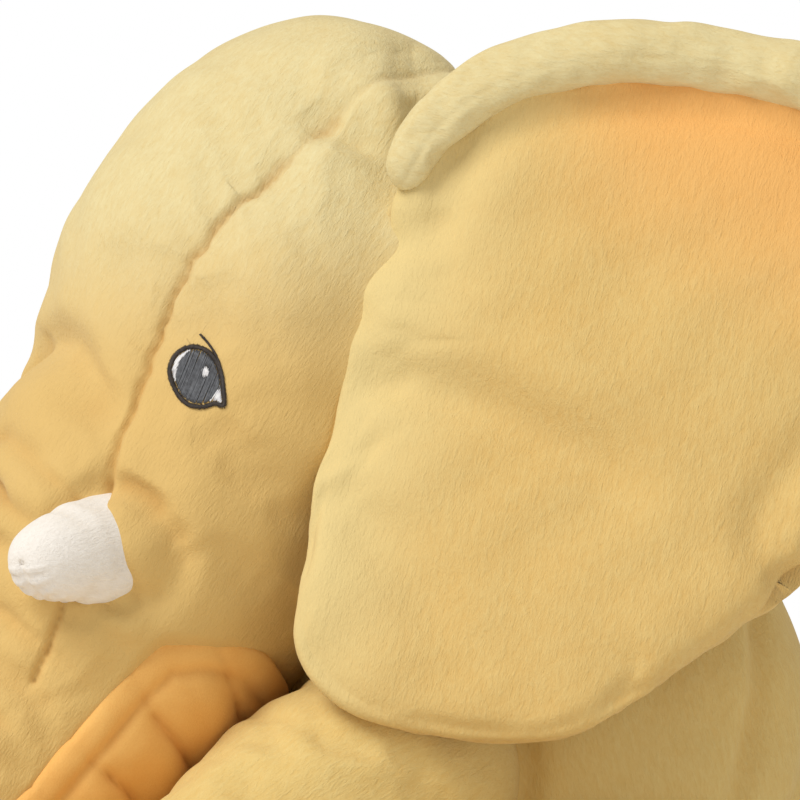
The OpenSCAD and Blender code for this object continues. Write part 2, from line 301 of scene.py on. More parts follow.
def mark_hollows(obj):
    """Keeps how sunken each place is, for painted shade: a deeper colour down in seams and folds, where shade falls."""
    mesh = obj.data
    p, n = points_of(obj), normals_of(obj)
    ends = np.empty(len(mesh.edges) * 2, np.int32)
    mesh.edges.foreach_get("vertices", ends)
    a, b = ends.reshape(-1, 2).T
    count = np.bincount(a, minlength=len(p)) + np.bincount(b, minlength=len(p))

    def around(v):
        return (np.bincount(a, v[b], len(p)) + np.bincount(b, v[a], len(p))) / np.maximum(count, 1)

    mean = np.stack([around(p[:, k]) for k in range(3)], 1)
    fine = np.einsum("ij,ij->i", mean - p, n)
    broad = fine
    for _ in range(6):
        broad = 0.5 * broad + 0.5 * around(broad)
    # painted shade: fine and broad sunkenness become the shade mask
    deep = smooth(0.05, 0.45, fine) * 0.6 + smooth(0.03, 0.2, broad) * 0.2
    for _ in range(2):
        deep = 0.5 * deep + 0.5 * around(deep)
    attribute = mesh.attributes.new("hollow", "FLOAT", "POINT")
    attribute.data.foreach_set("value", np.clip(deep, 0, 1).astype(np.float32))


def dress(obj, material):
    obj.data.materials.clear()
    obj.data.materials.append(material)
    obj.data.polygons.foreach_set("use_smooth", np.ones(len(obj.data.polygons), bool))
    if "hollow" not in obj.data.attributes:
        mark_hollows(obj)
    return obj


def mirrored(obj, name):
    """The same piece on the other side of the middle plane."""
    mesh = obj.data.copy()
    other = bpy.data.objects.new(name, mesh)
    scene.collection.objects.link(other)
    put_points(other, points_of(obj) * [-1, 1, 1])
    mesh.flip_normals()
    return other


def cut_by(obj, name, key, low, high):
    """A new piece with the faces whose value lies in a range, and the whole piece's normals at its edges."""
    mesh = obj.data
    value = values_of(obj, key)
    corner = np.empty(len(mesh.loops), np.int32)
    mesh.loops.foreach_get("vertex_index", corner)
    start = np.empty(len(mesh.polygons), np.int32)
    mesh.polygons.foreach_get("loop_start", start)
    size = np.diff(np.append(start, len(corner)))
    middle = np.add.reduceat(value[corner], start) / size
    keep = np.flatnonzero((middle >= low) & (middle < high))
    used = np.unique(np.concatenate([corner[start[keep] + k] for k in range(3)] + [corner[(start + size - 1)[keep]]]))
    index = np.full(len(value), -1)
    index[used] = np.arange(len(used))
    faces = [index[corner[a : a + n]].tolist() for a, n in zip(start[keep], size[keep])]
    piece = make_object(name, points_of(obj)[used], faces, {
        k: values_of(obj, k)[used] for k in (key, "hollow", "warm") if k in mesh.attributes})
    piece.data.polygons.foreach_set("use_smooth", np.ones(len(keep), bool))
    piece.data.normals_split_custom_set_from_vertices(normals_of(obj)[used].tolist())
    return piece


# ------------------------------------------------------------------ materials


class Nodes:
    """Short ways to add and join shader nodes."""

    def __init__(self, name):
        self.material = bpy.data.materials.new(name)
        self.material.use_nodes = True
        self.tree = self.material.node_tree
        self.tree.nodes.clear()
        self.out = self.tree.nodes.new("ShaderNodeOutputMaterial")
        self.shader = self.tree.nodes.new("ShaderNodeBsdfPrincipled")
        self.join(self.shader.outputs[0], self.out.inputs[0])

    def join(self, a, b):
        self.tree.links.new(a, b)

    def place(self, direction=(0, 0, 1), stretch=1.0):
        """Object coordinates in metres, stretched along a direction so that strokes lie that way."""
        coords = self.tree.nodes.new("ShaderNodeTexCoord")
        if stretch == 1.0:
            return coords.outputs["Object"]
        mapping = self.tree.nodes.new("ShaderNodeMapping")
        turn = Vector(direction).normalized().rotation_difference(Vector((1, 0, 0)))
        mapping.inputs["Rotation"].default_value = turn.to_euler()
        scale = self.tree.nodes.new("ShaderNodeMapping")
        scale.inputs["Scale"].default_value = (stretch, 1, 1)
        self.join(coords.outputs["Object"], mapping.inputs["Vector"])
        self.join(mapping.outputs["Vector"], scale.inputs["Vector"])
        return scale.outputs["Vector"]

    def noise(self, where, scale, detail=3.0, rough=0.55, distortion=0.0):
        n = self.tree.nodes.new("ShaderNodeTexNoise")
        n.inputs["Scale"].default_value = scale
        n.inputs["Detail"].default_value = detail
        n.inputs["Roughness"].default_value = rough
        n.inputs["Distortion"].default_value = distortion
        self.join(where, n.inputs["Vector"])
        return n.outputs["Fac"]

    def value(self, key):
        a = self.tree.nodes.new("ShaderNodeAttribute")
        a.attribute_name = key
        return a.outputs["Fac"]

    def range(self, value, low, high, from_low=0.3, from_high=0.7):
        r = self.tree.nodes.new("ShaderNodeMapRange")
        r.inputs["From Min"].default_value = from_low
        r.inputs["From Max"].default_value = from_high
        r.inputs["To Min"].default_value = low
        r.inputs["To Max"].default_value = high
        self.join(value, r.inputs["Value"])
        return r.outputs["Result"]

    def math(self, kind, a, b):
        m = self.tree.nodes.new("ShaderNodeMath")
        m.operation = kind
        for socket, v in zip(m.inputs, (a, b)):
            if isinstance(v, (int, float)):
                socket.default_value = v
            else:
                self.join(v, socket)
        return m.outputs[0]

    def mix(self, factor, a, b, kind="MIX"):
        m = self.tree.nodes.new("ShaderNodeMix")
        m.data_type = "RGBA"
        m.blend_type = kind
        for socket, v in ((m.inputs["Factor"], factor), (m.inputs[6], a), (m.inputs[7], b)):
            if isinstance(v, (int, float)):
                socket.default_value = v
            elif isinstance(v, tuple):
                socket.default_value = (*v, 1.0)
            else:
                self.join(v, socket)
        return m.outputs[2]

    def bump(self, height, distance, strength=1.0, below=None):
        b = self.tree.nodes.new("ShaderNodeBump")
        b.inputs["Distance"].default_value = distance
        b.inputs["Strength"].default_value = strength
        self.join(height, b.inputs["Height"])
        if below is not None:
            self.join(below, b.inputs["Normal"])
        return b.outputs["Normal"]

    def finish(self, colour, roughness, normal, sheen=0.0, tint=(1, 1, 1), specular=0.2, sheen_rough=0.4):
        s = self.shader.inputs
        self.join(colour, s["Base Color"])
        self.join(roughness, s["Roughness"])
        self.join(normal, s["Normal"])
        s["Sheen Weight"].default_value = sheen
        s["Sheen Roughness"].default_value = sheen_rough
        s["Sheen Tint"].default_value = (*tint, 1.0)
        s["Specular IOR Level"].default_value = specular
        return self.material


def srgb(r, g, b):
    """A colour as it is seen, as the linear values that a shader takes."""
    return tuple(((c / 255 + 0.055) / 1.055) ** 2.4 if c > 10 else c / 255 / 12.92 for c in (r, g, b))


def pile(name, light, deep, nap, hollow, sheen=0.15, coarse=1.0, **tints):
    """Short pile: soft brushed patches, fine strokes along the nap, and painted shade, a deeper colour, in its hollows.
    """
    n = Nodes(name)
    where = n.place(nap, 0.32)
    fibres = n.noise(where, 1500 * coarse, 2.0, 0.6)
    strokes = n.noise(where, 480 * coarse, 3.0, 0.6, 0.4)
    brushed = n.noise(n.place(), 34, 2.0, 0.5, 0.6)
    tone = n.math("ADD", n.math("MULTIPLY", n.range(strokes, 0, 1), 0.5), n.math("MULTIPLY", n.range(fibres, 0, 1), 0.3))
    tone = n.math("ADD", tone, n.math("MULTIPLY", n.range(brushed, 0, 1), 0.2))
    colour = n.mix(tone, deep, light)
    for key, tint in tints.items():
        colour = n.mix(n.value(key), colour, tint)
    # painted shade: the deeper colour down in seams and folds
    colour = n.mix(n.value("hollow"), colour, hollow)
    rough = n.range(strokes, 0.82, 0.98)
    normal = n.bump(brushed, 0.0012, 0.5)
    normal = n.bump(strokes, 0.0008, 0.6, normal)
    normal = n.bump(fibres, 0.00035, 0.8, normal)
    return n.finish(colour, rough, normal, sheen, (1.0, 0.95, 0.82))


YELLOW_FACE = srgb(226, 215, 170), srgb(216, 194, 138)
YELLOW = srgb(224, 200, 136), srgb(216, 182, 110)
YELLOW_EAR = srgb(222, 194, 130), srgb(214, 176, 106)
# painted shade and bounced light under the ears' rolled rims
YELLOW_PAINTED_WARM_SHADE = srgb(246, 176, 98)
# painted shade for the seams and folds of the yellow pile
YELLOW_HOLLOW_SHADE = srgb(186, 138, 72)
# the last orange is painted shade for the cloth's seams and folds
ORANGE_LIGHT, ORANGE_DEEP, ORANGE_HOLLOW_SHADE = srgb(243, 194, 116), srgb(232, 172, 92), srgb(202, 132, 60)


def smooth_cloth(name):
    """The underside's smooth cloth: a very short nap with a faint knit under it."""
    n = Nodes(name)
    where = n.place((0, 0.7, 0.7), 0.6)
    fine = n.noise(where, 1800, 2.0, 0.6)
    broad = n.noise(n.place(), 40, 2.0, 0.5, 0.4)
    tone = n.math("ADD", n.math("MULTIPLY", n.range(fine, 0, 1), 0.4), n.math("MULTIPLY", n.range(broad, 0, 1), 0.6))
    # painted shade: the cloth's seams and folds take a deeper colour
    colour = n.mix(n.value("hollow"), n.mix(tone, ORANGE_DEEP, ORANGE_LIGHT), ORANGE_HOLLOW_SHADE)
    normal = n.bump(fine, 0.0002, 0.7, n.bump(broad, 0.0008, 0.4))
    return n.finish(colour, n.range(fine, 0.7, 0.9), normal, 0.12, (1.0, 0.9, 0.75), 0.25)


def thread(name, light, dark):
    """Embroidery thread: a soft gloss broken by its twist."""
    n = Nodes(name)
    twist = n.noise(n.place(), 2600, 2.0, 0.5)
    tone = n.noise(n.place(), 700, 2.0, 0.5)
    normal = n.bump(twist, 0.0001, 0.6)
    return n.finish(n.mix(n.range(tone, 0, 1), dark, light), n.range(twist, 0.42, 0.62), normal, 0.0, (1, 1, 1), 0.5)


# ------------------------------------------------------------------ the head and trunk, as one skin

HEAD_R = 106.0
MUZZLE_R = 64.0
MUZZLE_LENGTH = 190.0       # over which the head narrows to the muzzle's radius
SEAM_ANGLE = 41.0           # of the forehead's seams, round the face axis from the top
PANEL_ANGLE = 84.0          # where the orange panel begins, round the axis from the top
PANEL_START = 136.0         # how far along the spine the orange panel begins, under the chin
PANEL_CORNER = 22.0         # how much further along it begins at the sides
face_axis = unit(trunk_pivots[0] - head_middle)

spine_marks = [head_middle, *trunk_pivots, trunk_end]
spine_lengths = [np.linalg.norm(b - a) for a, b in zip(spine_marks, spine_marks[1:])]
SPINE_END = sum(spine_lengths)
pivot_at = np.cumsum(spine_lengths)[:3]


def heading_pitch(direction):
    return math.atan2(-direction[2], -direction[1])


pitches = [heading_pitch(b - a) for a, b in zip(spine_marks, spine_marks[1:])]
SPINE_STEP = 0.5
spine_t = np.arange(-130, SPINE_END + 20, SPINE_STEP)
spine_pitch = np.full(len(spine_t), pitches[0])
for at, before, after in zip(pivot_at, pitches, pitches[1:]):
    spine_pitch += (after - before) * smooth(at - 26, at + 26, spine_t)
spine_heading = np.stack([0 * spine_t, -np.cos(spine_pitch), -np.sin(spine_pitch)], 1)
spine_middle = np.cumsum(spine_heading * SPINE_STEP, 0)
spine_middle += head_middle - spine_middle[np.abs(spine_t).argmin()]
PROFILE = np.array([
    [0, 106], [30, 103.4], [60, 97], [90, 85.6], [120, 77], [150, 69.5], [184, 63.5], [220, 59],
    [256, 55.5], [290, 51], [324, 47], [360, 43], [395, 39.5], [430, 38],
])
spine_r = np.interp(spine_t, PROFILE[:, 0], PROFILE[:, 1])
kernel = hill(np.arange(-40, 41) * SPINE_STEP, 9)
spine_r = np.convolve(np.pad(spine_r, 40, "edge"), kernel / kernel.sum(), "valid")
END_ROUND = 15.0


def spine(t):
    """Middle, heading and topward direction of the spine."""
    middle = np.stack([np.interp(t, spine_t, spine_middle[:, k]) for k in range(3)], -1)
    p = np.interp(t, spine_t, spine_pitch)
    heading = np.stack([0 * p, -np.cos(p), -np.sin(p)], -1)
    top = np.stack([0 * p, -np.sin(p), np.cos(p)], -1)
    return middle, heading, top


def skin_point(u, phi, lift=0.0):
    """A place on the skin. u follows the profile from behind the head, and phi, in degrees, goes round from the top."""
    u, phi = np.broadcast_arrays(np.asarray(u, float), np.radians(np.asarray(phi, float)))
    back = np.minimum(u, 0) / HEAD_R
    t = np.where(u < 0, HEAD_R * np.sin(back), u)
    tip = np.clip((u - (SPINE_END - END_ROUND)) / END_ROUND, 0, 1)
    r = np.where(u < 0, HEAD_R * np.cos(back), np.interp(u, spine_t, spine_r))
    r = r - END_ROUND * (1 - np.sqrt(np.maximum(0, 1 - tip**2)))
    middle, heading, top = spine(t)
    out = top * np.cos(phi)[..., None] + SIDEWAYS * np.sin(phi)[..., None]
    lean = np.where(u < 0, np.sin(back), 0)[..., None]
    direction = out * np.sqrt(1 - lean**2) + heading * lean
    return middle + out * r[..., None] + direction * np.asarray(lift)[..., None]


def skin_angle(points, u):
    """phi of points whose u is known, in degrees from -180 to 180."""
    t = np.where(u < 0, HEAD_R * np.sin(np.minimum(u, 0) / HEAD_R), u)
    middle, _, top = spine(t)
    v = points - middle
    return np.degrees(np.arctan2(v @ SIDEWAYS, np.einsum("ij,ij->i", v, top)))


tusk_middle = {s: head_middle + np.array([50 * k, -92, -95]) for s, k in SIDES.items()}
tusk_axis = {s: unit([0.35 * k, -0.9, -0.15]) for s, k in SIDES.items()}
TUSK_R = 22.0
TUSK_LENGTH = 62.0


def full_cheeks(points):
    """The head is fuller where each tusk is set in."""
    for s, k in SIDES.items():
        near = hill(np.linalg.norm(points - tusk_middle[s] + 10 * tusk_axis[s], axis=1), 48)
        points = points + 15 * near[:, None] * unit([0.85 * k, -0.45, -0.1])
    return points


# Lines of stitching, as places (u, phi)
seam_front = spline([(200, 60), (160, 53), (120, 48), (90, 43.5), (50, 40.5), (14, 42), (-12, 46), (-36, 49), (-65, 53),
                     (-100, 64), (-126, 82)], 10)
seam_back = spline([(-126, 82), (-136, 110), (-126, 138), (-100, 155), (-84, 160)], 10)
seam_lines = []
for side in SIDES.values():
    for line in (seam_front, seam_back):
        seam_lines.append(evenly(full_cheeks(skin_point(line[:, 0], side * line[:, 1])), 2.0))
ear_root = joint_at["ear_left_spread"]
ear_up = -joint_axis["ear_left_spread"]
ear_away = unit(np.array([0.45, 0.89, 0]) - ear_up * (np.array([0.45, 0.89, 0]) @ ear_up))


def panel_start(side):
    """Where along the spine the panel begins, at an angle round from the top."""
    return PANEL_START + PANEL_CORNER * (1 - smooth(PANEL_ANGLE - 10, 125, side))


def head_relief(points, u):
    """How the stuffed head and trunk depart from their plain form, in mm."""
    phi = skin_angle(points, u)
    side = np.abs(phi)
    relief = 1.6 * wobble(points, 75, 11) + 0.7 * wobble(points, 26, 12)
    for i, line in enumerate(seam_lines):
        fade = 1 - 0.55 * smooth(0, -40, u)
        relief += fade * seam_relief(points, line, 2.8, 1.8, 0.5, 16.0, i)
    relief -= (13 * hill(u + 20, 50) + 12 * hill(u - 62, 36)) * (1 - smooth(45, 92, side))
    relief += 8 * hill(u + 115, 45) * (1 - smooth(70, 120, side))
    # the fold between the forehead and the trunk, and the trunk's cross folds after it
    fold = 74 + 28 * (side / 46) ** 2
    relief -= 11 * hill(u - fold, 10) * (1 - smooth(16, 52, side))
    for start, deep, bow, reach in ((116, 3.0, 20, 88), (135, 3.2, 14, 84), (156, 2.6, 8, 80), (180, 2.4, 5, 84), (203, 2.6, 3, 84),
                                    (222, 2.6, 0, 84), (247, 2.0, 2, 84), (268, 2.2, -2, 84), (290, 2.8, 0, 84), (317, 2.2, 2, 84),
                                    (341, 2.0, -1, 84), (366, 1.6, 0, 84)):
        at = start + bow * (side / 60) ** 2 + 4.5 * wobble(points * [1, 0, 0] + 37 * start, 60, 5)
        shape = deep * (-hill(u - at, 3.6) + 0.55 * hill(u - at - 9, 5.5))
        relief += shape * (1 - smooth(reach - 30, reach, side)) * (0.75 + 0.35 * wobble(points, 45, start))
    # tusk pockets
    for s in SIDES:
        v = points - tusk_middle[s]
        ring = np.linalg.norm(v - 3 * tusk_axis[s], axis=1) - TUSK_R
        relief += 4.5 * hill(ring - 3, 5) - 5.0 * hill(ring - 11, 3.2)
    # gathers that run from the root of each ear
    for s, k in SIDES.items():
        top = ear_root * [k, 1, 1] + 52 * ear_up * [k, 1, 1]
        v = points - top
        d = np.linalg.norm(v, axis=1)
        turn = np.arctan2(v[:, 2], -v[:, 1])
        reach = smooth(0.1, 0.7, turn) * (1 - smooth(2.0, 2.6, turn))
        relief += reach * 4.4 * np.sin(4.6 * turn + 0.4 + 0.02 * d) * hill(d - 34, 24) * smooth(6, 24, d)
        # the head draws in along the ear's own seam
        root = points - ear_root * [k, 1, 1]
        up_seam = root @ (ear_up * [k, 1, 1])
        back = root @ (ear_away * [k, 1, 1])
        relief -= 5.0 * hill(back, 16) * (1 - smooth(48, 72, np.abs(up_seam - 4)))
    # the skin drops under the orange panel
    under = smooth(-3, 9, u - panel_start(side)) * smooth(PANEL_ANGLE - 1, PANEL_ANGLE + 7, side)
    return relief * (1 - under) - 4.0 * under


RING_STEP = 5.8
COARSE_COLUMNS = 104
u_rows = np.concatenate([
    np.linspace(-HEAD_R * math.pi / 2 + 5, 0, 29),
    np.arange(RING_STEP, SPINE_END - END_ROUND, RING_STEP),
    SPINE_END - END_ROUND + END_ROUND * np.sin(np.radians([0, 22, 44, 64, 80, 90])),
])
CUTS = [u_rows[np.abs(u_rows - c).argmin()] for c in (152, 222, 290)]
angles = np.arange(COARSE_COLUMNS) * 360 / COARSE_COLUMNS
rings = skin_point(u_rows[:, None], angles[None])
whole_points, whole_faces = loft_mesh(rings)
u_values = np.concatenate([np.repeat(u_rows, COARSE_COLUMNS), [u_rows[0] - 5, SPINE_END]])
whole = make_object("whole_skin", full_cheeks(whole_points), whole_faces, {"u": u_values})
outward(whole)
coarse = points_of(whole)
held = np.zeros(len(coarse))
for line in seam_lines:
    held = np.maximum(held, hill(near_line(coarse, line)[0], 6))
held = np.maximum(held, smooth(PANEL_ANGLE - 8, PANEL_ANGLE, np.abs(skin_angle(coarse, u_values))) * smooth(110, 130, u_values))
held = np.maximum(held, smooth(SPINE_END - 25, SPINE_END - 10, u_values))
for k in SIDES.values():
    root_line = ear_root * [k, 1, 1] + np.outer(np.arange(-60, 66, 3.0), ear_up * [k, 1, 1])
    held = np.maximum(held, 1 - smooth(14, 34, near_line(coarse, root_line)[0]))
stuff(whole, held, 4.0)
subdivide(whole, 2)
push(whole, head_relief(points_of(whole), values_of(whole, "u")))
mark_hollows(whole)
# painted shade: the head and trunk are tinted warmer and darker towards the bottom, standing in for shade and warm
# bounced light from below
painted_low_shade = 1 - smooth(-45, 55, points_of(whole)[:, 2] - head_middle[2])
whole.data.attributes.new("warm", "FLOAT", "POINT").data.foreach_set("value", painted_low_shade.astype(np.float32))

# its tint is that painted low shade
plush_face = pile("plush_face", *YELLOW_FACE, tuple(face_axis), YELLOW_HOLLOW_SHADE, warm=srgb(216, 182, 116))
head_skin = cut_by(whole, "head_skin", "u", -999, CUTS[0])
trunk_root_skin = cut_by(whole, "trunk_root_skin", "u", CUTS[0], CUTS[1])
trunk_middle_skin = cut_by(whole, "trunk_middle_skin", "u", CUTS[1], CUTS[2])
trunk_end_skin = cut_by(whole, "trunk_end_skin", "u", CUTS[2], 999)
bpy.data.objects.remove(whole)
for piece in (head_skin, trunk_root_skin, trunk_middle_skin, trunk_end_skin):
    dress(piece, plush_face)


def bend_trunk(piece):
    """Bakes a trunk piece's placing into its points; it is not bent here."""
    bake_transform(piece)


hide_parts("head_gusset", "head_side_left", "head_side_right", "head_filling")
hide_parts("trunk_upper_skin", "trunk_upper_filling")
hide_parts("trunk_middle_skin", "trunk_middle_filling")
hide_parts("trunk_tip_skin", "trunk_tip_filling")
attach(head_skin, "head")
bend_trunk(trunk_root_skin)
bend_trunk(trunk_middle_skin)
bend_trunk(trunk_end_skin)

# ------------------------------------------------------------------ the gathered orange panel

PLEATS = np.array([118, 148, 178, 207, 233, 262, 288, 316, 342, 368, 394, 424])
BAND = 13.0                 # width of the plain band along the panel's border


def panel_relief(u, phi, points):
    """Puffs between gathered valleys that cross the panel, inside a plain band."""
    r = np.interp(u, spine_t, spine_r)
    inside = np.radians(np.abs(phi) - PANEL_ANGLE) * r
    from_start = (u - panel_start(np.abs(phi))) * 0.85
    border = np.minimum(inside, from_start)
    border -= 3.0 * hill(inside - from_start, 9)
    slant = u - 13 * smooth(0, 90, inside) - 3 * wobble(points, 50, 21)
    i = np.clip(np.searchsorted(PLEATS, slant) - 1, 0, len(PLEATS) - 2)
    share = np.clip((slant - PLEATS[i]) / (PLEATS[i + 1] - PLEATS[i]), 0, 1)
    puff = np.sin(np.pi * share) ** 0.62
    height = 1.5 + 3.2 * np.sqrt(np.clip(border / BAND, 0, 1)) * (1 - 0.35 * smooth(0.4 * BAND, BAND, border))
    height += (4.4 * puff - 2.0) * smooth(BAND * 0.75, BAND * 1.9, border)
    height += 1.6 * (puff - 0.6) * smooth(0, 5, border)
    height -= 1.6 * hill(border - BAND * 0.95, 2.2)
    height += 0.5 * wobble(points, 22, 23)
    edge = smooth(-2.5, 3.0, border + 1.6 * puff)
    return -6.0 * (1 - edge) + height * edge


PANEL_STEP = 1.6
panel_u = np.concatenate([np.arange(PANEL_START - 5, SPINE_END - END_ROUND, PANEL_STEP),
                          SPINE_END - END_ROUND + END_ROUND * np.sin(np.radians(np.arange(0, 66, 6)))])
panel_phi = np.linspace(PANEL_ANGLE - 5, 360 - PANEL_ANGLE + 5, 150)
grid_u, grid_phi = (g.ravel() for g in np.meshgrid(panel_u, panel_phi, indexing="ij"))
turned = np.where(grid_phi > 180, grid_phi - 360, grid_phi)
base = skin_point(grid_u, turned)
panel_points = skin_point(grid_u, turned, panel_relief(grid_u, turned, base))
cols = len(panel_phi)
r, c = np.arange(len(panel_u) - 1)[:, None], np.arange(cols - 1)[None]
panel_faces = np.stack([r * cols + c, r * cols + c + 1, (r + 1) * cols + c + 1, (r + 1) * cols + c], -1).reshape(-1, 4)
panel = make_object("whole_panel", panel_points, panel_faces.tolist(), {"u": grid_u})
if normals_of(panel)[cols * 30 + cols // 2] @ (panel_points[cols * 30 + cols // 2] - spine(grid_u[cols * 30])[0]) < 0:
    panel.data.flip_normals()
mark_hollows(panel)
orange_cloth = smooth_cloth("underside_cloth")
panel_cuts = [panel_u[np.abs(panel_u - c).argmin()] for c in (148, 220, 288)]
chin = cut_by(panel, "chin_underside", "u", -999, panel_cuts[0])
under_root = cut_by(panel, "trunk_root_underside", "u", panel_cuts[0], panel_cuts[1])
under_middle = cut_by(panel, "trunk_middle_underside", "u", panel_cuts[1], panel_cuts[2])
under_end = cut_by(panel, "trunk_end_underside", "u", panel_cuts[2], 999)
bpy.data.objects.remove(panel)
for piece, node in ((chin, "chin_panel"), (under_root, "trunk_upper_underside"),
                    (under_middle, "trunk_middle_underside"), (under_end, "trunk_tip_underside")):
    dress(piece, orange_cloth)
    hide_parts(node)
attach(chin, "head")
bend_trunk(under_root)
bend_trunk(under_middle)
bend_trunk(under_end)

# ------------------------------------------------------------------ round patches: soles and the trunk's end


def patch_disc(name, middle, out, radius, dome, seed):
    """A round patch sewn in round its edge, domed by the stuffing behind it."""
    out = unit(out)
    a = unit(np.cross(out, [0.3, 0.1, 1.0]))
    b = np.cross(out, a)
    steps, around = 26, 110
    share = np.linspace(0.02, 1.0, steps)
    turn = np.arange(around) * 2 * np.pi / around
    rings = np.empty((steps + 3, around, 3))
    for i, s in enumerate(share):
        pucker = 0.6 * np.sin(turn * 26 + seed) * smooth(0.72, 0.95, s)
        height = dome * (1 - s**2.2) + pucker - 2.6 * smooth(0.9, 1.0, s)
        rings[i] = middle + radius * s * (np.cos(turn)[:, None] * a + np.sin(turn)[:, None] * b) + np.outer(height, out)
    for i, (s, h) in enumerate(((0.99, -4.0), (0.9, -5.0), (0.5, -5.5))):
        rings[steps + i] = middle + radius * s * (np.cos(turn)[:, None] * a + np.sin(turn)[:, None] * b) + h * out
    obj = make_object(name, *loft_mesh(rings))
    outward(obj)
    push(obj, 0.5 * wobble(points_of(obj), 24, seed))
    return dress(obj, orange_cloth)


trunk_disc = patch_disc("trunk_end_patch", trunk_end, spine(np.array(SPINE_END))[1], 26, 3.0, 3)
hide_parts("trunk_end_disc")
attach(trunk_disc, "trunk_tip")

# ------------------------------------------------------------------ tusks

# its last colour is painted shade down in the tusks' seam and folds
white_pile = pile("white_plush", srgb(244, 240, 236), srgb(232, 226, 220), tuple(tusk_axis["left"]),
                  srgb(206, 192, 178), 0.15, 1.2)


def frame_of(axis):
    """Two directions across an axis."""
    a = unit(np.cross(axis, [0, 0, 1]))
    return a, np.cross(a, axis)


def tusk():
    axis, middle = tusk_axis["left"], tusk_middle["left"]
    across, over = frame_of(axis)
    t = np.concatenate([np.linspace(-14, TUSK_LENGTH - 18, 17), TUSK_LENGTH - 18 + 18 * np.sin(np.radians([18, 36, 52, 66, 78, 86]))])
    radius = np.interp(t, [-14, 0, 16, 33, 48], [22.5, 22.5, 21.8, 19.6, 16.6])
    tip = np.clip((t - (TUSK_LENGTH - 18)) / 18, 0, 1)
    radius *= np.sqrt(1 - tip**2)
    turn = np.arange(40) * 2 * np.pi / 40
    droop = 0.0006 * np.maximum(t, 0) ** 2
    rings = (middle + t[:, None] * axis + droop[:, None] * over)[:, None] + radius[:, None, None] * (
        np.cos(turn)[None, :, None] * across + np.sin(turn)[None, :, None] * over)
    obj = make_object("tusk_left", *loft_mesh(rings))
    outward(obj)
    seam = evenly(rings[1:, 30], 1.5)
    stuff(obj, np.maximum(hill(near_line(points_of(obj), seam)[0], 4), 1 - smooth(2, 12, (points_of(obj) - middle) @ axis)), 0.7)
    subdivide(obj, 2)
    p = points_of(obj)
    push(obj, 0.8 * wobble(p, 30, 31) + seam_relief(p, seam, 1.4, 1.0, 0.5, 7.0))
    return obj


tusks = {"left": tusk()}
tusks["right"] = mirrored(tusks["left"], "tusk_right")
for s, piece in tusks.items():
    dress(piece, white_pile)
    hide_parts(f"tusk_{s}_skin", f"tusk_{s}_filling")
    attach(piece, "head")

# ------------------------------------------------------------------ embroidered eyes

eye_middle = node_middle("eye_left_iris")

head_tree = BVHTree.FromPolygons([tuple(v) for v in points_of(head_skin)], [p.vertices[:] for p in head_skin.data.polygons])
eye_out = unit([0.86, -0.5, 0.02])
eye_over = unit(np.array([0, 0, 1.0]) - eye_out * eye_out[2])
eye_right = np.cross(eye_over, eye_out)
EYE_OUTLINE = spline([
    (-11.0, 4.0), (-9.2, 8.2), (-5.6, 10.8), (-1.4, 11.4), (3.4, 9.8), (7.2, 5.8), (9.5, 0.4), (10.5, -5.4),
    (11.0, -11.8), (7.4, -10.9), (3.0, -12.1), (-2.4, -11.4), (-6.4, -8.2), (-9.2, -3.6), (-10.9, 1.2),
], 8, closed=True)
IRIS = (0.6, -0.3, 9.2, 11.2)      # middle x and y, half width and half height
GLINT = (3.2, 1.4, 1.5, 2.1)
LID = spline([(0.6, 16.2), (4.4, 12.0), (8.0, 6.4), (10.2, -0.6), (10.9, -8.0)], 14)


def on_face(x, y, lift):
    """Places on the head's skin in front of and behind the eye's middle."""
    found = []
    for a, b in zip(np.atleast_1d(x), np.atleast_1d(y)):
        start = eye_middle + eye_right * a + eye_over * b + eye_out * 30
        hit, normal, _, _ = head_tree.ray_cast(Vector(start), Vector(-eye_out))
        found.append(np.array(hit) + np.array(normal) * lift)
    return np.array(found)


def strand(points, radius, sides=6):
    """Rings of a thread along points."""
    p = np.array(points)
    d = np.gradient(p, axis=0)
    d /= np.linalg.norm(d, axis=1)[:, None]
    a = np.cross(d, eye_out)
    a /= np.maximum(np.linalg.norm(a, axis=1), 1e-6)[:, None]
    b = np.cross(a, d)
    turn = np.arange(sides) * 2 * np.pi / sides
    r = radius * np.array([0.55] + [1.0] * (len(p) - 2) + [0.55])
    return p[:, None] + r[:, None, None] * (np.cos(turn)[None, :, None] * a[:, None] + np.sin(turn)[None, :, None] * b[:, None])


def stitched(name, stitches, lift, radius=0.3):
    """Satin stitches, each a thread from one edge of a shape to the other that arches a little."""
    points, faces, count = [], [], 0
    for (x0, y0), (x1, y1) in stitches:
        length = math.hypot(x1 - x0, y1 - y0)
        steps = max(4, int(length / 1.4) + 1)
        s = np.linspace(0, 1, steps)
        p = on_face(x0 + (x1 - x0) * s, y0 + (y1 - y0) * s, 0)
        out = lift + min(0.5, 0.09 * length) * np.sin(np.pi * s)
        v, f = loft_mesh(strand(p + out[:, None] * eye_out, radius))
        points.append(v)
        faces += [[i + count for i in face] for face in f]
        count += len(v)
    return make_object(name, np.vstack(points), faces)


def inside_shape(loop, x, y):
    """Whether a place lies inside a closed loop."""
    a, b = loop, np.roll(loop, -1, 0)
    crosses = (a[:, 1] > y) != (b[:, 1] > y)
    at = a[:, 0] + (y - a[:, 1]) * (b[:, 0] - a[:, 0]) / np.where(b[:, 1] == a[:, 1], 1e-9, b[:, 1] - a[:, 1])
    return bool((crosses & (x < at)).sum() % 2)


